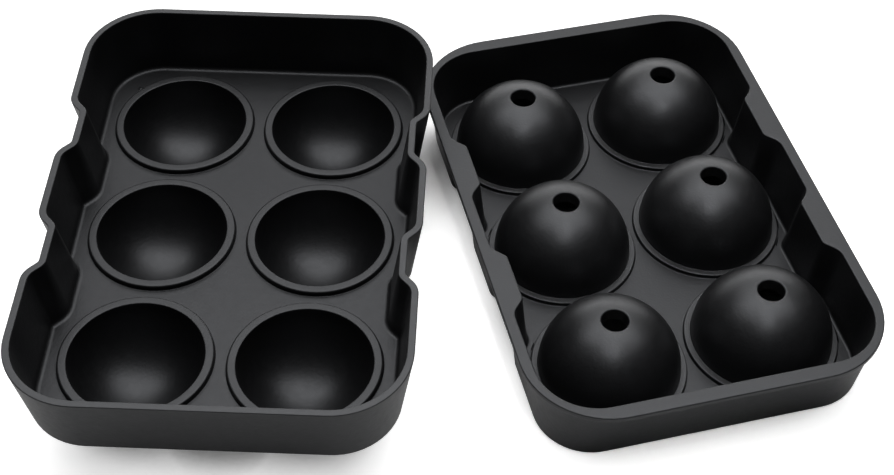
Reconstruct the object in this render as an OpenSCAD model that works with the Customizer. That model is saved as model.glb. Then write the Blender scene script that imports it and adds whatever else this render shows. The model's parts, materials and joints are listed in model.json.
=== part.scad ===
// Ice ball mold: a silicone tray of half-ball cups and a lid of half-ball domes.
// The two pieces stand side by side, as they do while the tray waits for its lid.
// Seated, the lid's skirt stands on the tray's deck, the lips seal in its recesses
// and its flange lies on the tray's rim.

/* [Balls] */
// Diameter of one ice ball
ball_d = 45; // [36:0.5:48]
// Distance between the centres of neighbouring balls
pitch = 55.5; // [54:0.5:66]
// Balls side by side
cols = 2; // [1:1:3]
// Balls along the mold
rows = 3; // [2:1:4]

/* [Tray] */
// Height of the tray's rim above its deck
tray_depth = 24.7; // [18:0.1:32]
// Thickness of the tray's wall, measured level
wall_t = 2.5; // [1.8:0.1:3.2]
// Slope of the tray's wall from upright
draft = 8.9; // [2:0.1:10]
// Thickness of the tray's deck
deck_t = 2.5; // [1.6:0.1:4]
// Wall thickness of a cup
cup_wall = 2.4; // [1.8:0.1:3]
// How much of a cup's round bottom is cut flat, for the tray to stand on
foot_cut = 0.4; // [0.2:0.05:1]
// Height of the sealing lip round a cup
lip_h = 2; // [1.4:0.1:3]
// Width of the sealing lip
lip_w = 3.2; // [2.4:0.1:3.6]
// From the centre of an outer ball to the tray's side wall
side_margin = 30.4; // [30:0.1:36]
// From the centre of an end ball to the tray's end wall
end_margin = 31.2; // [30:0.1:38]
// Corner radius of the deck
corner_r = 19.6; // [12:0.1:24]
// Radius where the deck meets a wall
deck_fillet = 1.3; // [0.6:0.1:1.5]
// Radius of the tray's lower outer edge
foot_r = 1.8; // [0.6:0.1:2.2]
// How far the foot of the tray's wall stands below the deck
foot_drop = 0.4; // [0.2:0.1:1]
// Radius of the two edges of the flat rim
rim_edge_r = 0.4; // [0.2:0.1:0.7]

/* [Finger notches] */
// How far a notch steps into the side wall
notch_d = 4.6; // [4.2:0.1:6]
// Width of a notch at its floor, with square corners
notch_w = 20.4; // [16:0.1:22]
// Slant of a notch's two ends
notch_slant = 43; // [36:1:50]
// Inner face radius of the tray's wall at a notch's outer corners
notch_out_r = 1.8; // [1.7:0.1:2.2]
// Inner face radius of the tray's wall at a notch's floor corners
notch_in_r = 8.6; // [8.2:0.1:9]

/* [Lid] */
// Play between the lid's skirt and the tray's wall
nest_gap = 0.3; // [0.2:0.05:0.8]
// Thickness of the lid's wall, measured level
lid_wall = 2; // [1.5:0.1:2.4]
// Slope of the lid's wall from upright
lid_draft = 6.6; // [1:0.1:7]
// Thickness of the lid's deck
lid_deck_t = 2.2; // [1.6:0.1:3]
// Depth of the recess that takes a cup's lip
recess_d = 1; // [0.6:0.1:1.2]
// Play between a lip and the side of its recess
recess_gap = 0.2; // [0.1:0.05:0.4]
// Height of the bead round a dome above the lid's deck
bead_h = 1.7; // [1:0.1:2.5]
// Width of the bead round a dome
bead_w = 2; // [1.5:0.1:2.2]
// Wall thickness of a dome at the top of its bead
dome_wall = 2.2; // [1.6:0.1:2.4]
// Diameter of a fill hole
fill_d = 9; // [5:0.1:12]
// Bevel round the top of a fill hole
fill_bevel = 0.7; // [0.3:0.1:1]
// Thickness of the flange round the lid
flange_t = 2; // [1.4:0.1:3]
// How far the flange stands out from the wall at the sides
flange_side = 2.3; // [1.5:0.1:3.5]
// How far the flange stands out from the wall at the ends
flange_end = 3.6; // [2:0.1:4]
// Corner radius of the flange
flange_corner_r = 29; // [20:0.5:30]
// Notch corner radius of the lid's inner face
lid_notch_out_r = 3.4; // [3.2:0.1:3.8]
// Notch floor corner radius of the lid's inner face
lid_notch_in_r = 5.6; // [5.3:0.1:6]

/* [Layout] */
// How far the lid is turned as it lies beside the tray
lid_turn = 16.2; // [0:0.1:30]
// How far the lid lies behind the tray's middle
lid_back = 24.4; // [0:0.1:40]
// Free space between the lid's flange and the tray's wall
lay_gap = 0.5; // [0.3:0.1:20]

/* [Hidden] */
$fn = 96;
// Two solids that are joined run this far into each other
bite = 0.8;
// Cutters run this far past the surface that they cut
past = 1;
// A fillet ends this far below the deck that it runs out on
sink = 0.05;
// The decks run this far into the walls
plate_out = 0.6;
// The walls run this far into the decks, past the fillet
root_in = 0.2;
// Share of a lip's or bead's height that its rounded edge takes
edge_share = 1 / 3;
// Steps round a corner of the mold and round a corner of a notch
corner_steps = 12;
notch_steps = 5;
ball_r = ball_d / 2;
lip_r = ball_r + lip_w;

// Heights of the tray above the surface that it stands on
lip_z = ball_r + cup_wall - foot_cut;
deck_z = lip_z - lip_h;
under_z = deck_z - deck_t;
rim_z = deck_z + tray_depth;

// Half sizes of the deck, at its meeting with the walls
deck_x = (cols - 1) * pitch / 2 + side_margin;
deck_y = (rows - 1) * pitch / 2 + end_margin;
slope = tan(draft);
rim_out = wall_t + slope * (tray_depth - rim_edge_r) + rim_edge_r * (1 - 1 / cos(draft));

// Heights of the lid above the surface that it stands on
lid_slope = tan(lid_draft);
lid_under_z = lip_h - recess_d;
lid_deck_z = lid_under_z + lid_deck_t;
bead_z = lid_deck_z + bead_h;
flange_z = tray_depth;
lid_top_z = flange_z + flange_t;
// The lid's half ball starts on top of the lip, inside the recess
equator_z = lip_h;
dome_r = sqrt(pow(ball_r, 2) - pow(bead_z - equator_z, 2)) + dome_wall;
bead_r = dome_r + bead_w;
// From the deck outline of the tray in to the inner face of the lid at its deck
lid_inset = nest_gap + lid_wall - lid_slope * lid_deck_z;
lid_out = lid_wall + lid_slope * (flange_z - lid_deck_z);
flange_x = deck_x - lid_inset + lid_out + flange_side;
flange_y = deck_y - lid_inset + lid_out + flange_end;

// Layout: each outline is a rectangle of corner centres with a radius round it
tray_out = wall_t + slope * (lid_top_z - deck_z);
tray_core = [deck_x - corner_r, deck_y - corner_r];
lid_core = [flange_x - flange_corner_r, flange_y - flange_corner_r];
turn_c = cos(lid_turn);
turn_s = sin(lid_turn);
near_x = lid_core.x * turn_c + lid_core.y * turn_s;
near_y = lid_back - lid_core.x * turn_s + lid_core.y * turn_c;
apart = corner_r + tray_out + flange_corner_r + lay_gap;
past_corner = max(0, near_y - tray_core.y);
lid_x = tray_core.x + near_x + sqrt(max(0, pow(apart, 2) - pow(past_corner, 2)));
reach_x = near_x + flange_corner_r;
reach_y = lid_core.x * turn_s + lid_core.y * turn_c + flange_corner_r;
low_x = -(deck_x + rim_out);
high_x = lid_x + reach_x;
low_y = min(-(deck_y + rim_out), lid_back - reach_y);
high_y = max(deck_y + rim_out, lid_back + reach_y);
home = [-(low_x + high_x) / 2, -(low_y + high_y) / 2, 0];

// Points of an arc from angle a to angle b
function arc(x, y, r, a, b, steps) =
    [for (i = [0 : steps]) [x + r * cos(a + (b - a) * i / steps), y + r * sin(a + (b - a) * i / steps)]];

// A route is a list of moves, each [straight length, turn, radius of the turn].
// A turn to the left is positive. The route runs anticlockwise, so outside is right.
function notch_moves(before, width, out_r, in_r) =
    let (half_turn = tan(notch_slant / 2),
         flank = notch_d / sin(notch_slant) - (out_r + in_r) * half_turn)
    [[before, notch_slant, out_r],
     [flank, -notch_slant, in_r],
     [width - 2 * in_r * half_turn, -notch_slant, in_r],
     [flank, notch_slant, out_r]];

// One long side with its notches, up to and round the next corner
function side_moves(half_y, r, width, out_r, in_r) =
    let (half_turn = tan(notch_slant / 2),
         reach = width / 2 + notch_d / tan(notch_slant) + out_r * half_turn,
         first = half_y - r - (rows - 2) * pitch / 2 - reach,
         between = pitch - 2 * reach)
    [for (i = [0 : rows - 2]) each notch_moves(i == 0 ? first : between, width, out_r, in_r),
     [first, 90, r]];

// The notched outline, moved in by inset from the tray's deck outline
function notched_route(inset, out_r, in_r) =
    let (half_x = deck_x - inset,
         half_y = deck_y - inset,
         r = corner_r - inset,
         width = notch_w + 2 * inset * tan(notch_slant / 2),
         side = side_moves(half_y, r, width, out_r, in_r),
         end = [[2 * (half_x - r), 90, r]])
    concat(side, end, side, end);

// Where each move starts: [x, y, heading]
function after_straight(p, move) = [p.x + move[0] * cos(p.z), p.y + move[0] * sin(p.z), p.z];
function turn_centre(q, move) =
    let (side = move[1] > 0 ? 90 : -90)
    [q.x + move[2] * cos(q.z + side), q.y + move[2] * sin(q.z + side)];
function after_move(p, move) =
    let (q = after_straight(p, move),
         c = turn_centre(q, move),
         a = q.z + move[1] + (move[1] > 0 ? -90 : 90))
    [c.x + move[2] * cos(a), c.y + move[2] * sin(a), q.z + move[1]];
function stations(route, p, i = 0) =
    i == len(route) ? [] : concat([p], stations(route, after_move(p, route[i]), i + 1));
function route_start(half_x, half_y, r) = [half_x, r - half_y, 90];

// Points along a route, each with the direction that points out of it: [x, y, direction]
function frames(route, start) =
    let (from = stations(route, start))
    [for (i = [0 : len(route) - 1])
        let (move = route[i], q = after_straight(from[i], move), c = turn_centre(q, move),
             a = q.z + (move[1] > 0 ? -90 : 90), steps = move[1] == 90 ? corner_steps : notch_steps)
        for (j = [0 : steps])
            let (b = a + move[1] * j / steps)
            [c.x + move[2] * cos(b), c.y + move[2] * sin(b), q.z + move[1] * j / steps - 90]];

// The outline that lies out from a route
function outline(route, start, out) =
    [for (f = frames(route, start)) [f.x + out * cos(f.z), f.y + out * sin(f.z)]];

// A closed wall: the profile carried round the route. In the profile, x points out and y points up.
module wall(route, start, profile) {
    at = frames(route, start);
    m = len(at);
    n = len(profile);
    polyhedron(
        points = [for (f = at, q = profile) [f.x + q.x * cos(f.z), f.y + q.x * sin(f.z), q.y]],
        faces = [for (i = [0 : m - 1], j = [0 : n - 1])
            let (i2 = (i + 1) % m, j2 = (j + 1) % n)
            [i * n + j, i * n + j2, i2 * n + j2, i2 * n + j]]
    );
}

// A round bar bent to a plain outline
module bar_loop(half_x, half_y, r, bar_r) {
    for (side = [0 : 3]) {
        half = side % 2 == 0 ? [half_x, half_y] : [half_y, half_x];
        rotate([0, 0, 90 * side]) {
            translate([half.x, half.y - r, 0])
                rotate([90, 0, 0]) cylinder(h = 2 * (half.y - r), r = bar_r, $fn = 32);
            translate([half.x - r, half.y - r, 0])
                rotate_extrude(angle = 90) translate([r, 0]) circle(bar_r, $fn = 32);
        }
    }
}

module each_ball() {
    for (i = [0 : cols - 1], j = [0 : rows - 1])
        translate([(i - (cols - 1) / 2) * pitch, (j - (rows - 1) / 2) * pitch, 0]) children();
}

// The tray's wall from its foot to the flat rim, with the fillet to the deck
tray_wall_profile =
    let (edge_z = rim_z - rim_edge_r,
         edge_x = slope * (edge_z - deck_z),
         edge_in = rim_edge_r / cos(draft),
         base_z = under_z - foot_drop,
         foot_x = wall_t + slope * (base_z - deck_z),
         root = -deck_fillet - root_in)
    concat(
        [[root, base_z + bite], [0, base_z + bite], [0, base_z]],
        arc(foot_x + slope * foot_r - foot_r / cos(draft), base_z + foot_r, foot_r, -90, -draft, 3),
        arc(edge_x + wall_t - edge_in, edge_z, rim_edge_r, -draft, 90, 3),
        arc(edge_x + edge_in, edge_z, rim_edge_r, 90, 180 - draft, 3),
        arc(deck_fillet * (slope - 1 / cos(draft)), deck_z + deck_fillet - sink, deck_fillet, -draft, -90, 3),
        [[root, deck_z - bite]]
    );

// The lip that stands round a cup, with its outer edge eased
module lip_profile() {
    ease = lip_h * edge_share;
    polygon(concat(
        [[ball_r - bite, under_z], [lip_r, under_z]],
        arc(lip_r - ease, lip_z - ease, ease, 0, 90, 4),
        [[ball_r - bite, lip_z]]
    ));
}

module tray() {
    route = notched_route(0, notch_out_r, notch_in_r);
    start = route_start(deck_x, deck_y, corner_r);
    color([0.16, 0.16, 0.17])
    translate(home)
    difference() {
        union() {
            wall(route, start, tray_wall_profile);
            translate([0, 0, under_z])
                linear_extrude(deck_t) polygon(outline(route, start, plate_out));
            each_ball() {
                rotate_extrude() lip_profile();
                intersection() {
                    translate([0, 0, lip_z]) sphere(ball_r + cup_wall);
                    cylinder(h = deck_z, r = ball_r + cup_wall + past);
                }
            }
        }
        each_ball() translate([0, 0, lip_z]) sphere(ball_r);
    }
}

// The lid's wall from the skirt's lower edge to the inner edge of the flange
lid_wall_profile =
    let (top_z = lid_top_z - sink,
         top_x = lid_slope * (top_z - lid_deck_z),
         foot_x = lid_wall - lid_slope * lid_deck_z,
         ease = lid_wall / 2,
         root = -deck_fillet - 2 * root_in)
    concat(
        [[root, lid_under_z + bite], [foot_x - lid_wall, lid_under_z + bite], [foot_x - lid_wall, 0]],
        arc(foot_x + lid_slope * ease - ease / cos(lid_draft), ease, ease, -90, -lid_draft, 3),
        [[top_x + lid_wall, top_z]],
        arc(top_x + ease / cos(lid_draft) - lid_slope * ease, top_z - ease, ease, 90, 180 - lid_draft, 4),
        arc(deck_fillet * (lid_slope - 1 / cos(lid_draft)), lid_deck_z + deck_fillet - sink, deck_fillet,
            -lid_draft, -90, 3),
        [[root, lid_deck_z - bite]]
    );

// The bead round the foot of a dome, with its outer edge eased
module bead_profile() {
    ease = bead_h * edge_share;
    polygon(concat(
        [[ball_r - bite, lid_under_z], [bead_r, lid_under_z]],
        arc(bead_r - ease, bead_z - ease, ease, 0, 90, 4),
        [[ball_r - bite, bead_z]]
    ));
}

// The flange, straight-edged and round-cornered, with a rolled outer edge
module flange(route, start) {
    roll = flange_t / 2;
    edge_x = flange_x - roll;
    edge_y = flange_y - roll;
    edge_r = flange_corner_r - roll;
    mid_wall = lid_out - lid_wall / 2;
    translate([0, 0, flange_z])
        linear_extrude(flange_t)
            difference() {
                union() {
                    square([2 * (edge_x - edge_r), 2 * edge_y], center = true);
                    square([2 * edge_x, 2 * (edge_y - edge_r)], center = true);
                    for (i = [-1, 1], j = [-1, 1])
                        translate([i * (edge_x - edge_r), j * (edge_y - edge_r)]) circle(edge_r);
                }
                polygon(outline(route, start, mid_wall));
            }
    translate([0, 0, flange_z + roll]) bar_loop(edge_x, edge_y, edge_r, roll);
}

module lid() {
    route = notched_route(lid_inset, lid_notch_out_r, lid_notch_in_r);
    start = route_start(deck_x - lid_inset, deck_y - lid_inset, corner_r - lid_inset);
    bevel_z = bead_z + sqrt(pow(dome_r, 2) - pow(fill_d / 2 + fill_bevel, 2));
    color([0.17, 0.17, 0.18])
    translate(home + [lid_x, lid_back, 0])
    rotate([0, 0, lid_turn])
    difference() {
        union() {
            wall(route, start, lid_wall_profile);
            translate([0, 0, lid_under_z])
                linear_extrude(lid_deck_t) polygon(outline(route, start, plate_out));
            flange(route, start);
            each_ball() {
                rotate_extrude() bead_profile();
                intersection() {
                    translate([0, 0, bead_z]) sphere(dome_r);
                    translate([0, 0, lid_deck_z]) cylinder(h = dome_r + bead_h + past, r = dome_r - bite / 8);
                }
            }
        }
        each_ball() {
            translate([0, 0, equator_z]) sphere(ball_r);
            translate([0, 0, -past]) cylinder(h = equator_z + past, r = lip_r + recess_gap);
            translate([0, 0, equator_z]) cylinder(h = ball_r + dome_r, d = fill_d);
            translate([0, 0, bevel_z - fill_bevel])
                cylinder(h = fill_bevel * 2, d1 = fill_d, d2 = fill_d + 4 * fill_bevel);
        }
    }
}

tray();
lid();
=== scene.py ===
import json
import math

import bmesh
import bpy
from mathutils import Matrix, Quaternion, Vector


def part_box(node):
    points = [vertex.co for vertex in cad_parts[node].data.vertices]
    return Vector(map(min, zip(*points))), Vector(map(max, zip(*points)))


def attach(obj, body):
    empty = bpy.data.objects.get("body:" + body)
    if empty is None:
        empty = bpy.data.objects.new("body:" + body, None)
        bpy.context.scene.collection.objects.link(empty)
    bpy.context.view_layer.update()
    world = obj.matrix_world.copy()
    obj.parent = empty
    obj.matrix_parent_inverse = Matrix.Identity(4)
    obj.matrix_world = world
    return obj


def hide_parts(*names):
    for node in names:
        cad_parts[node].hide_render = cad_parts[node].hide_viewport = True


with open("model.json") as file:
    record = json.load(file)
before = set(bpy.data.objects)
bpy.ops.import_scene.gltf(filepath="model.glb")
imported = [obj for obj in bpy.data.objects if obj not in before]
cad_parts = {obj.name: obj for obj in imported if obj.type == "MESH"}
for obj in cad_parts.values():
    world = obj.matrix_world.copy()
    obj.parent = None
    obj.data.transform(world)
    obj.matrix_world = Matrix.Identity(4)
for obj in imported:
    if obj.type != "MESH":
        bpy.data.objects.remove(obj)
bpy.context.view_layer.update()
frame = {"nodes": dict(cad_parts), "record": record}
print("frame loaded:", ", ".join(sorted(frame["nodes"])))

mm = 0.001  # silicone, plan, tray and lid are in millimetres, studio, lamps and shot in metres


# Node sheets

class Wire:  # an output socket that can be summed and scaled like a number
    def __init__(self, sheet, socket):
        self.sheet = sheet
        self.socket = socket

    def maths(self, operation, first, second):
        return self.sheet.add("ShaderNodeMath", {"operation": operation}, {0: first, 1: second})

    def __add__(self, other):
        return self.maths("ADD", self, other)

    def __radd__(self, other):
        return self.maths("ADD", other, self)

    def __sub__(self, other):
        return self.maths("SUBTRACT", self, other)

    def __rsub__(self, other):
        return self.maths("SUBTRACT", other, self)

    def __mul__(self, other):
        return self.maths("MULTIPLY", self, other)

    def __rmul__(self, other):
        return self.maths("MULTIPLY", other, self)


class Sheet:  # a node tree, and the one way in which a node is put on it
    def __init__(self, tree):
        self.tree = tree
        tree.nodes.clear()

    def add(self, kind, settings=None, inputs=None, out=0):
        node = self.tree.nodes.new(kind)
        for name, value in (settings or {}).items():
            setattr(node, name, value)
        for key, value in (inputs or {}).items():
            if isinstance(value, Wire):
                self.tree.links.new(value.socket, node.inputs[key])
            else:
                node.inputs[key].default_value = value
        return Wire(self, node.outputs[out]) if len(node.outputs) else None

    def mixColours(self, factor, first, second):
        inputs = {0: factor, 6: first, 7: second}  # 6 and 7 are the colours of a Mix node
        return self.add("ShaderNodeMix", {"data_type": "RGBA"}, inputs, out=2)

    def smoothStep(self, value, low, high):  # 0 up to low, 1 from high on
        inputs = {"Value": value, "From Min": low, "From Max": high}
        return self.add("ShaderNodeMapRange", {"interpolation_type": "SMOOTHSTEP"}, inputs)

    def noise(self, place, scale, detail):
        inputs = {"Vector": place, "Scale": scale, "Detail": detail}
        return self.add("ShaderNodeTexNoise", None, inputs)

    def upPart(self, vector):
        return self.add("ShaderNodeSeparateXYZ", None, {0: vector}, out="Z")


def newMaterial(name):
    material = bpy.data.materials.new(name)
    material.use_nodes = True
    return material, Sheet(material.node_tree)


# Silicone

silicone = {
    "dark": (0.0028, 0.0028, 0.0031, 1),
    "pale": (0.0046, 0.0047, 0.0051, 1),
    "paintedHighlight": (0.032, 0.0325, 0.0335, 1),  # painted highlight on rims, lips and crowns, which catch more light than the deck
    "sheenTone": (0.93, 0.95, 1.0, 1),     # silicone's gloss is a little cool
    "ior": 1.5,
    "roughness": 0.42,
    "roughnessSpread": 0.14,
    "mottle": (38.0, 4.0),                 # scale over a metre, and detail, of each noise
    "haze": (420.0, 3.0),
    "grain": (2600.0, 2.0),
    "wave": (1000.0, 1.0),
    "grainHeight": 0.012,
    "waveHeight": 0.035,
    "highlightDepth": 0.7,                       # how far down from its top a rim gets the painted highlight
    "highlightSlope": (0.80, 0.98),              # how level a lip or a crown is where it gets the painted highlight
}


def makeSilicone(name, shiftAndHighlight):
    s = silicone
    material, sheet = newMaterial(name)
    body = sheet.add("ShaderNodeTexCoord", None, None, out="Object")
    shift = (shiftAndHighlight["shift"], 0, 0)
    place = sheet.add("ShaderNodeVectorMath", {"operation": "ADD"}, {0: body, 1: shift})
    colour = sheet.mixColours(sheet.noise(place, *s["mottle"]), s["dark"], s["pale"])

    height = sheet.upPart(body)
    facing = sheet.add("ShaderNodeNewGeometry", None, None, out="Normal")
    level = sheet.smoothStep(sheet.upPart(facing), *s["highlightSlope"])
    depth = s["highlightDepth"] * mm
    rimZ = shiftAndHighlight["rimZ"] * mm
    raisedZ = shiftAndHighlight["raisedZ"] * mm
    # painted highlight: the rim's top and the level tops of lips, beads and crowns are mixed
    # towards a paler colour, standing for the light they catch
    rim = sheet.smoothStep(height, rimZ - depth, rimZ)
    raised = sheet.smoothStep(height, raisedZ - depth / 2, raisedZ)
    # a rim is raised too, so it has that share and adds the rest of its own
    paintedHighlight = rim * (shiftAndHighlight["rimHighlight"] - shiftAndHighlight["raisedHighlight"]) + raised * level * shiftAndHighlight["raisedHighlight"]
    colour = sheet.mixColours(paintedHighlight, colour, s["paintedHighlight"])

    rough = s["roughness"] + (sheet.noise(place, *s["haze"]) - 0.5) * s["roughnessSpread"]
    grain = sheet.noise(place, *s["grain"]) * (s["grainHeight"] * mm)
    wave = sheet.noise(place, *s["wave"]) * (s["waveHeight"] * mm)
    relief = {"Strength": 1.0, "Distance": 1.0, "Height": grain + wave}
    bump = sheet.add("ShaderNodeBump", None, relief)
    skin = sheet.add("ShaderNodeBsdfPrincipled", None, {
        "Base Color": colour, "Roughness": rough, "Normal": bump, "IOR": s["ior"],
        "Specular Tint": s["sheenTone"],
    })
    sheet.add("ShaderNodeOutputMaterial", None, {"Surface": skin})
    print(name, "mixed")
    return material


# Outlines and profiles

def arc(x, y, radius, start, end, steps):  # angles in degrees
    points = []
    for i in range(steps + 1):
        angle = math.radians(start + (end - start) * i / steps)
        points.append((x + radius * math.cos(angle), y + radius * math.sin(angle)))
    return points


def drafted(degrees):  # what a drafted wall gains per height, and how wide it is across
    angle = math.radians(degrees)
    return math.tan(angle), 1 / math.cos(angle)


def walk(moves, x, y, heading, stretch, turnStep):
    # a move is a straight and then a bend: its length, the bend's degrees and its radius
    stations = []  # x, y and the direction that points out
    for length, turn, radius in moves:
        ahead = math.radians(heading)
        cuts = max(1, math.ceil(length / stretch))
        for i in range(cuts):
            gone = length * i / cuts
            point = (x + gone * math.cos(ahead), y + gone * math.sin(ahead))
            stations.append((*point, ahead - math.pi / 2))
        x += length * math.cos(ahead)
        y += length * math.sin(ahead)
        side = math.copysign(90, turn)
        toCentre = math.radians(heading + side)
        centreX = x + radius * math.cos(toCentre)
        centreY = y + radius * math.sin(toCentre)
        steps = math.ceil(abs(turn) / turnStep)
        bend = arc(centreX, centreY, radius, heading - side, heading - side + turn, steps)
        for i, point in enumerate(bend[:-1]):
            stations.append((*point, math.radians(heading + turn * i / steps - 90)))
        x, y = bend[-1]
        heading += turn
    return stations


# Both pieces are molded on one plan

plan = {
    "ballRadius": 22.5,
    "pitch": 55.5,
    "deckX": 58.15,      # half sizes of the tray's deck
    "deckY": 86.7,
    "cornerRadius": 19.6,
    "notchDepth": 4.6,
    "notchWidth": 20.4,
    "notchSlant": 43,    # degrees
    "stretch": 4.0,      # longest step along a straight
    "turnStep": 6,       # and round a bend, in degrees
    "ringSteps": 96,
}


def planRoute(inset, outerRadius, innerRadius):  # once round the notched wall
    p = plan
    half = math.tan(math.radians(p["notchSlant"] / 2))
    slant = math.radians(p["notchSlant"])
    halfX = p["deckX"] - inset
    halfY = p["deckY"] - inset
    radius = p["cornerRadius"] - inset
    width = p["notchWidth"] + 2 * inset * half
    flank = p["notchDepth"] / math.sin(slant) - (outerRadius + innerRadius) * half
    reach = width / 2 + p["notchDepth"] / math.tan(slant) + outerRadius * half
    first = halfY - radius - p["pitch"] / 2 - reach
    turn = p["notchSlant"]
    side = []
    for before in (first, p["pitch"] - 2 * reach):
        side += [
            (before, turn, outerRadius),
            (flank, -turn, innerRadius),
            (width - 2 * innerRadius * half, -turn, innerRadius),
            (flank, turn, outerRadius),
        ]
    side.append((first, 90, radius))
    end = [(2 * (halfX - radius), 90, radius)]
    return walk(2 * (side + end), halfX, radius - halfY, 90, p["stretch"], p["turnStep"])


def flangeRoute(halfX, halfY, radius):  # once round the flange, which has no notches
    p = plan
    side = (2 * (halfY - radius), 90, radius)
    end = (2 * (halfX - radius), 90, radius)
    return walk(2 * [side, end], halfX, radius - halfY, 90, p["stretch"], p["turnStep"])


def ballCentres():
    return [(i * plan["pitch"], j * plan["pitch"]) for i in (-0.5, 0.5) for j in (-1, 0, 1)]


# A skin is built from loops of points, bands between loops, caps and flat fills

class Skin:
    def __init__(self):
        self.bm = bmesh.new()

    def sweep(self, route, profile):
        loops = []
        for out, z in profile:
            points = [(x + out * math.cos(a), y + out * math.sin(a), z) for x, y, a in route]
            loops.append([self.bm.verts.new(point) for point in points])
        return self.bands(loops)

    def revolve(self, centre, profile, steps=plan["ringSteps"]):
        x, y = centre
        angles = [2 * math.pi * i / steps for i in range(steps)]
        loops = []
        for radius, z in profile:
            points = [(x + radius * math.cos(a), y + radius * math.sin(a), z) for a in angles]
            loops.append([self.bm.verts.new(point) for point in points])
        return self.bands(loops)

    def bands(self, loops):
        for first, second in zip(loops, loops[1:]):
            for i in range(len(first)):
                self.bm.faces.new((first[i - 1], first[i], second[i], second[i - 1]))
        return loops[0], loops[-1]

    def cap(self, loop):
        middle = self.bm.verts.new(sum((v.co for v in loop), Vector()) / len(loop))
        for i in range(len(loop)):
            self.bm.faces.new((loop[i - 1], loop[i], middle))

    def fill(self, loops):
        edges = []
        for loop in loops:
            edges += [self.bm.edges.get((loop[i - 1], loop[i])) for i in range(len(loop))]
        bmesh.ops.triangle_fill(self.bm, use_beauty=True, edges=edges, normal=(0, 0, 1))

    def finish(self, name, place, material):
        bmesh.ops.recalc_face_normals(self.bm, faces=self.bm.faces)
        self.bm.transform(place @ Matrix.Scale(mm, 4))
        for face in self.bm.faces:
            face.smooth = True
        mesh = bpy.data.meshes.new(name)
        self.bm.to_mesh(mesh)
        self.bm.free()
        mesh.materials.append(material)
        piece = bpy.data.objects.new(name, mesh)
        bpy.context.collection.objects.link(piece)
        weighted = piece.modifiers.new("flats stay flat", "WEIGHTED_NORMAL")
        weighted.keep_sharp = True
        print(name, len(mesh.polygons), "faces")
        return piece


# Where the two pieces lie, read from the frame

def trayPlace():
    low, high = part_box("tray")
    return Matrix.Translation(((low.x + high.x) / 2, (low.y + high.y) / 2, 0))


def lidPlace():
    mounts = frame["record"]["mounts"]
    holes = {m["name"]: Vector(m["pos_m"]) for m in mounts if m["kind"] == "bore"}
    middle = sum(holes.values(), Vector()) / len(holes)
    along = holes["fill_hole_back_left"] - holes["fill_hole_front_left"]
    turn = math.atan2(-along.x, along.y)
    return Matrix.Translation((middle.x, middle.y, 0)) @ Matrix.Rotation(turn, 4, "Z")


# Tray

tray = {
    "lipZ": 24.5,
    "lipHeight": 2.0,
    "lipWidth": 3.2,
    "lipEdge": 0.8,
    "bowlEdge": 0.5,
    "bowlEnd": -87,             # degrees, where the bowl's rings end and a cap closes it
    "rootFillet": 0.4,
    "deckThickness": 2.5,
    "deckFillet": 1.7,
    "cupWall": 2.4,
    "cupFillet": 1.2,
    "depth": 24.7,
    "wall": 2.5,
    "draft": 8.9,
    "rimEdge": 0.4,
    "footRadius": 1.8,
    "footDrop": 0.4,
    "softEdge": 0.2,
    "notchOuter": 1.8,
    "notchInner": 8.6,
    "markPlace": (-47.7, 74.6),
    # radius and height of the small mark that molding leaves in a corner of the deck
    "mark": [(1.1, 0.0), (0.8, 0.06), (0.7, 0.2), (0.5, 0.3), (0.1, 0.3)],
    "markSteps": 24,
    # the rim and the lips get a painted highlight from these heights on
    "shiftAndHighlight": {"shift": 0.0, "rimZ": 47.1, "rimHighlight": 1.0, "raisedZ": 24.5, "raisedHighlight": 0.3},
}


def trayWall(deckZ, underZ):  # from the deck over the rim to the underside
    t = tray
    draft = t["draft"]
    slope, lean = drafted(draft)
    fillet = t["deckFillet"]
    filletX = fillet * (slope - lean)
    edge = t["rimEdge"]
    edgeZ = deckZ + t["depth"] - edge
    edgeX = slope * (edgeZ - deckZ)
    foot = t["footRadius"]
    baseZ = underZ - t["footDrop"]
    footX = t["wall"] + slope * (baseZ - deckZ) + slope * foot - foot * lean
    soft = t["softEdge"]
    return (
        [(filletX - soft, deckZ)]
        + arc(filletX, deckZ + fillet, fillet, -90, -draft, 7)
        + arc(edgeX + edge * lean, edgeZ, edge, 180 - draft, 90, 4)
        + arc(edgeX + t["wall"] - edge * lean, edgeZ, edge, 90, -draft, 4)
        + arc(footX, baseZ + foot, foot, -draft, -90, 6)
        + arc(soft, baseZ + soft, soft, -90, -180, 2)
        + [(0, underZ), (-fillet, underZ)]
    )


def cupInside(deckZ):  # from the deck over the lip down into the half ball
    t = tray
    ball = plan["ballRadius"]
    lipZ = t["lipZ"]
    lipR = ball + t["lipWidth"]
    root = t["rootFillet"]
    edge = t["lipEdge"]
    rim = t["bowlEdge"]
    bowlStart = -math.degrees(math.asin(rim / ball))
    return (
        [(lipR + 2 * root, deckZ)]
        + arc(lipR + root, deckZ + root, root, -90, -180, 4)
        + arc(lipR - edge, lipZ - edge, edge, 0, 90, 5)
        + arc(ball + rim, lipZ - rim, rim, 90, 180, 4)
        + arc(0, lipZ, ball, bowlStart, t["bowlEnd"], 29)[1:]
    )


def cupOutside(underZ):  # from the deck's underside down to the flat that a cup stands on
    t = tray
    lipZ = t["lipZ"]
    cup = plan["ballRadius"] + t["cupWall"]
    fillet = t["cupFillet"]
    filletZ = underZ - fillet
    filletR = math.sqrt((cup + fillet) ** 2 - (lipZ - filletZ) ** 2)
    meet = math.degrees(math.atan2(lipZ - filletZ, -filletR))
    footR = math.sqrt(cup ** 2 - lipZ ** 2)
    footAngle = -math.degrees(math.acos(footR / cup))
    return (
        [(filletR + fillet, underZ)]
        + arc(filletR, filletZ, fillet, 90, meet, 5)
        + arc(0, lipZ, cup, meet - 180, footAngle, 24)[1:]
    )


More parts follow.
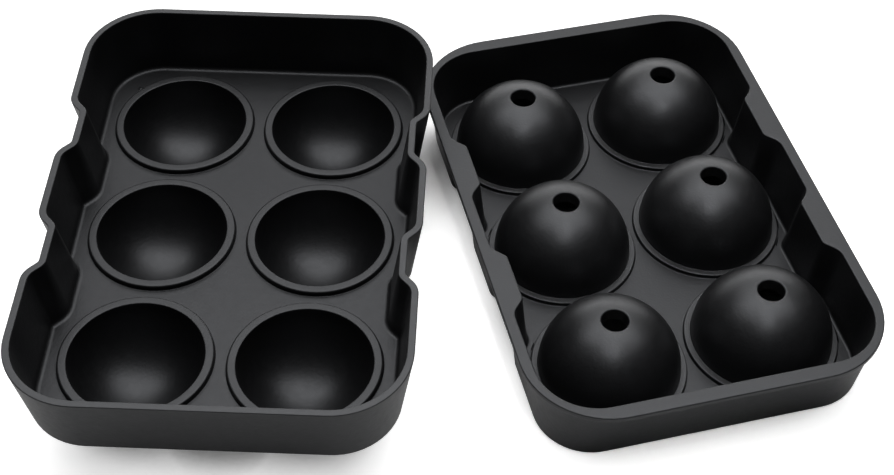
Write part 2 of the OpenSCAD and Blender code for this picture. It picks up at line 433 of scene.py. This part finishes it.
def makeTray():
    t = tray
    deckZ = t["lipZ"] - t["lipHeight"]
    underZ = deckZ - t["deckThickness"]
    skin = Skin()
    route = planRoute(0, t["notchOuter"], t["notchInner"])
    deckEdge, underEdge = skin.sweep(route, trayWall(deckZ, underZ))
    mark = [(radius, deckZ + height) for radius, height in t["mark"]]
    markEdge, markTop = skin.revolve(t["markPlace"], mark, t["markSteps"])
    skin.cap(markTop)
    deckLoops = [deckEdge, markEdge]
    underLoops = [underEdge]
    for centre in ballCentres():
        start, pole = skin.revolve(centre, cupInside(deckZ))
        skin.cap(pole)
        deckLoops.append(start)
        start, foot = skin.revolve(centre, cupOutside(underZ))
        skin.cap(foot)
        underLoops.append(start)
    skin.fill(deckLoops)
    skin.fill(underLoops)
    piece = skin.finish("silicone_tray", trayPlace(), makeSilicone("tray_silicone", t["shiftAndHighlight"]))
    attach(piece, "tray")
    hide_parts("tray")


# Lid

lid = {
    "recess": 1.0,
    "recessGap": 0.2,
    "deckThickness": 2.2,
    "deckFillet": 1.3,
    "beadHeight": 1.7,
    "beadWidth": 2.2,
    "beadEdge": 0.35,
    "rootFillet": 0.4,
    "domeWall": 2.2,
    "domeFillet": 0.2,
    "holeRadius": 4.5,
    "holeEdge": 0.7,
    "holeTurn": -110,           # degrees, where the hole's lower edge starts to round
    "nestGap": 0.3,
    "wall": 2.0,
    "draft": 6.6,
    "topEdge": 0.5,
    "footEdge": 0.6,
    "softEdge": 0.3,
    "fineEdge": 0.2,
    "flange": 2.0,
    "flangeSide": 2.3,
    "flangeEnd": 3.6,
    "flangeCorner": 29.0,
    "flangeEdge": 0.45,
    "flangeFillet": 0.6,
    "notchOuter": 3.4,
    "notchInner": 5.6,
    # the flange gets a painted highlight, and more so the beads and the domes' crowns
    "shiftAndHighlight": {"shift": 3.7, "rimZ": 26.6, "rimHighlight": 0.45, "raisedZ": 4.9, "raisedHighlight": 0.5},
}


def lidInside(deckZ, topZ):  # from the deck up to the flange's top
    draft = lid["draft"]
    slope, lean = drafted(draft)
    fillet = lid["deckFillet"]
    filletX = fillet * (slope - lean)
    edge = lid["topEdge"]
    edgeX = slope * (topZ - edge - deckZ) + edge * lean
    return (
        [(filletX - fillet, deckZ)]
        + arc(filletX, deckZ + fillet, fillet, -90, -draft, 7)
        + arc(edgeX, topZ - edge, edge, 180 - draft, 90, 4)
        + [(edgeX + edge, topZ)]
    )


def flangeBrim(flangeZ, topZ):  # round the flange's edge, from its top to its underside
    brim = lid["flangeEdge"]
    return (
        [(-2 * brim, topZ)]
        + arc(-brim, topZ - brim, brim, 90, 0, 4)
        + arc(-brim, flangeZ + brim, brim, 0, -90, 4)
        + [(-1.5 * brim, flangeZ)]
    )


def lidOutside(underZ, deckZ, flangeX, flangeZ):  # from the flange down round the skirt's foot
    draft = lid["draft"]
    slope, lean = drafted(draft)
    web = lid["flangeFillet"]
    webX = flangeX - slope * web + web * lean
    foot = lid["footEdge"]
    footX = lid["wall"] + slope * (foot - deckZ) - foot * lean
    skirtX = -slope * deckZ
    soft = lid["softEdge"]
    return (
        [(webX + lid["fineEdge"], flangeZ)]
        + arc(webX, flangeZ - web, web, 90, 180 - draft, 4)
        + arc(footX, foot, foot, -draft, -90, 4)
        + arc(skirtX + soft, soft, soft, -90, -180, 3)
        + [(skirtX, underZ), (skirtX - soft, underZ)]
    )


def domeBothSides(underZ, deckZ):  # from the recess up the ball, out of the hole, down the dome
    d = lid
    ball = plan["ballRadius"]
    seamZ = tray["lipHeight"]  # the lid's half balls end where the tray's lips do
    soft = d["softEdge"]
    fine = d["fineEdge"]
    recessR = ball + tray["lipWidth"] + d["recessGap"]
    hole = d["holeRadius"]
    holeZ = seamZ + math.sqrt(ball ** 2 - hole ** 2)
    ballStart = math.degrees(math.asin(soft / ball))
    ballEnd = math.degrees(math.acos((hole + soft) / ball))
    beadZ = deckZ + d["beadHeight"]
    domeR = math.sqrt(ball ** 2 - (beadZ - seamZ) ** 2) + d["domeWall"]
    bevel = d["holeEdge"]
    crownZ = beadZ + math.sqrt((domeR - bevel) ** 2 - (hole + bevel) ** 2)
    crownAngle = math.degrees(math.atan2(crownZ - beadZ, hole + bevel))
    fillet = d["domeFillet"]
    domeX = math.sqrt((domeR + fillet) ** 2 - fillet ** 2)
    domeAngle = math.degrees(math.atan2(fillet, domeX))
    beadR = domeR + d["beadWidth"]
    edge = d["beadEdge"]
    root = d["rootFillet"]
    return (
        [(recessR + 2 * soft, underZ)]
        + arc(recessR + soft, underZ + soft, soft, -90, -180, 3)
        + arc(recessR - fine, seamZ - fine, fine, 0, 90, 2)
        + arc(ball + soft, seamZ + soft, soft, -90, -180, 3)
        + arc(0, seamZ, ball, ballStart, ballEnd, 24)[1:]
        + arc(hole + soft, holeZ + soft, soft, d["holeTurn"], -180, 3)
        + arc(hole + bevel, crownZ, bevel, 180, crownAngle, 5)
        + arc(0, beadZ, domeR, crownAngle, domeAngle, 30)[1:]
        + arc(domeX, beadZ + fillet, fillet, 180 + domeAngle, 270, 4)[1:]
        + arc(beadR - edge, beadZ - edge, edge, 90, 0, 5)
        + arc(beadR + root, deckZ + root, root, 180, 270, 4)
        + [(beadR + 2 * root, deckZ)]
    )


def makeLid():
    d = lid
    underZ = tray["lipHeight"] - d["recess"]
    deckZ = underZ + d["deckThickness"]
    flangeZ = tray["depth"]
    topZ = flangeZ + d["flange"]
    slope, lean = drafted(d["draft"])
    inset = d["nestGap"] + d["wall"] - slope * deckZ
    flangeX = d["wall"] + slope * (flangeZ - deckZ)

    skin = Skin()
    route = planRoute(inset, d["notchOuter"], d["notchInner"])
    deckEdge, topInner = skin.sweep(route, lidInside(deckZ, topZ))
    halfX = plan["deckX"] - inset + flangeX + d["flangeSide"]
    halfY = plan["deckY"] - inset + flangeX + d["flangeEnd"]
    aroundFlange = flangeRoute(halfX, halfY, d["flangeCorner"])
    topOuter, lowOuter = skin.sweep(aroundFlange, flangeBrim(flangeZ, topZ))
    lowInner, underEdge = skin.sweep(route, lidOutside(underZ, deckZ, flangeX, flangeZ))
    underLoops = [underEdge]
    deckLoops = [deckEdge]
    for centre in ballCentres():
        start, end = skin.revolve(centre, domeBothSides(underZ, deckZ))
        underLoops.append(start)
        deckLoops.append(end)
    for loops in (underLoops, deckLoops, [topOuter, topInner], [lowOuter, lowInner]):
        skin.fill(loops)
    piece = skin.finish("silicone_lid", lidPlace(), makeSilicone("lid_silicone", d["shiftAndHighlight"]))
    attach(piece, "lid")
    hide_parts("lid")


makeTray()
makeLid()
print("pieces ready")


# Floor and light

studio = {
    "floorSize": 6.0,
    "floorDrop": 0.0001,      # keeps it out of the plane of the cups' flat bottoms
    "floorColour": (0.90, 0.90, 0.90, 1),
    "white": (1, 1, 1, 1),
    "nearLift": 0.75,         # glow that only the camera sees, so that the floor is near white
    "farLift": 1.0,           # and the same where the lamps no longer reach
    "farFrom": 0.35,
    "farTo": 1.2,
    "shadeReach": 0.03,       # the glow fades this close to the silicone
    "shadeFrom": 0.22,
    "shadeTo": 0.55,
    "ambient": 0.03,
}

lamps = {
    # azimuth counts from the front, anticlockwise seen from above
    "overhead": {
        "azimuth": 180, "elevation": 78, "distance": 1.6, "size": (2.7, 1.35), "watts": 28.5,
    },
    "back": {
        "azimuth": 180, "elevation": 45, "distance": 1.6, "size": (1.7, 0.8), "watts": 4.6,
    },
    "low_back": {
        "azimuth": 180, "elevation": 11, "distance": 1.6, "size": (2.4, 0.5), "watts": 9.0,
    },
    "on_the_lid": {  # a small box with a grid, close to the lid
        "azimuth": 4, "elevation": 72, "distance": 0.55, "size": (0.15, 0.18), "watts": 0.017,
        "aim": (0.062, 0.009), "spread": 11,
    },
}


def makeFloor():
    material, sheet = newMaterial("pale_floor")
    seen = sheet.add("ShaderNodeLightPath", None, None, out="Is Camera Ray")
    reach = {"Distance": studio["shadeReach"]}
    uncovered = sheet.add("ShaderNodeAmbientOcclusion", None, reach, out="AO")
    shade = sheet.smoothStep(uncovered, studio["shadeFrom"], studio["shadeTo"])
    place = sheet.add("ShaderNodeTexCoord", None, None, out="Object")
    away = sheet.add("ShaderNodeVectorMath", {"operation": "LENGTH"}, {0: place}, out="Value")
    lift = sheet.add("ShaderNodeMapRange", None, {
        "Value": away, "From Min": studio["farFrom"], "From Max": studio["farTo"],
        "To Min": studio["nearLift"], "To Max": studio["farLift"],
    })
    matt = sheet.add("ShaderNodeBsdfDiffuse", None, {"Color": studio["floorColour"]})
    # the glow's colour holds how bright it is at each place, and only the camera sees it
    glow = sheet.add("ShaderNodeEmission", None, {"Color": shade * lift, "Strength": seen})
    both = sheet.add("ShaderNodeAddShader", None, {0: matt, 1: glow})
    sheet.add("ShaderNodeOutputMaterial", None, {"Surface": both})
    half = studio["floorSize"] / 2
    low = -studio["floorDrop"]
    corners = [(-half, -half, low), (half, -half, low), (half, half, low), (-half, half, low)]
    mesh = bpy.data.meshes.new("floor")
    mesh.from_pydata(corners, [], [(0, 1, 2, 3)])
    mesh.materials.append(material)
    floor = bpy.data.objects.new("floor", mesh)
    bpy.context.collection.objects.link(floor)


def direction(azimuth, elevation):
    a = math.radians(azimuth)
    e = math.radians(elevation)
    return Vector((math.sin(a) * math.cos(e), -math.cos(a) * math.cos(e), math.sin(e)))


def makeLamps():
    for name, settings in lamps.items():
        data = bpy.data.lights.new(name, "AREA")
        data.shape = "ELLIPSE"
        data.size, data.size_y = settings["size"]
        data.energy = settings["watts"]
        data.spread = math.radians(settings.get("spread", 180))
        lamp = bpy.data.objects.new(name, data)
        bpy.context.collection.objects.link(lamp)
        away = direction(settings["azimuth"], settings["elevation"])
        aim = Vector((*settings.get("aim", (0, 0)), 0))
        lamp.location = aim + away * settings["distance"]
        lamp.visible_camera = False
        lamp.rotation_mode = "QUATERNION"
        lamp.rotation_quaternion = (-away).to_track_quat("-Z", "Y")


def makeWorld():
    world = bpy.data.worlds.new("studio")
    bpy.context.scene.world = world
    world.use_nodes = True
    sheet = Sheet(world.node_tree)
    seen = sheet.add("ShaderNodeLightPath", None, None, out="Is Camera Ray")
    strength = seen * (1 - studio["ambient"]) + studio["ambient"]
    inputs = {"Color": studio["white"], "Strength": strength}
    back = sheet.add("ShaderNodeBackground", None, inputs)
    sheet.add("ShaderNodeOutputWorld", None, {"Surface": back})


makeFloor()
makeLamps()
makeWorld()
print("studio ready")


# Camera

shot = {
    "target": (-0.00557, -0.01443, 0.025),
    "azimuth": 1.301,
    "elevation": 47.849,
    "roll": 1.036,
    "distance": 0.56051,
    "focalPixels": 1602.9,
    "frameWidth": 894,
    "sensorWidth": 36,     # millimetres, as the lens
}


def makeCamera():
    data = bpy.data.cameras.new("camera")
    data.sensor_width = shot["sensorWidth"]
    data.lens = shot["sensorWidth"] * shot["focalPixels"] / shot["frameWidth"]
    camera = bpy.data.objects.new("camera", data)
    bpy.context.collection.objects.link(camera)
    away = direction(shot["azimuth"], shot["elevation"])
    camera.location = Vector(shot["target"]) + away * shot["distance"]
    camera.rotation_mode = "QUATERNION"
    level = (-away).to_track_quat("-Z", "Y")
    camera.rotation_quaternion = level @ Quaternion((0, 0, 1), math.radians(shot["roll"]))
    bpy.context.scene.camera = camera


makeCamera()
bpy.context.scene.view_settings.view_transform = "Standard"
print("camera ready")
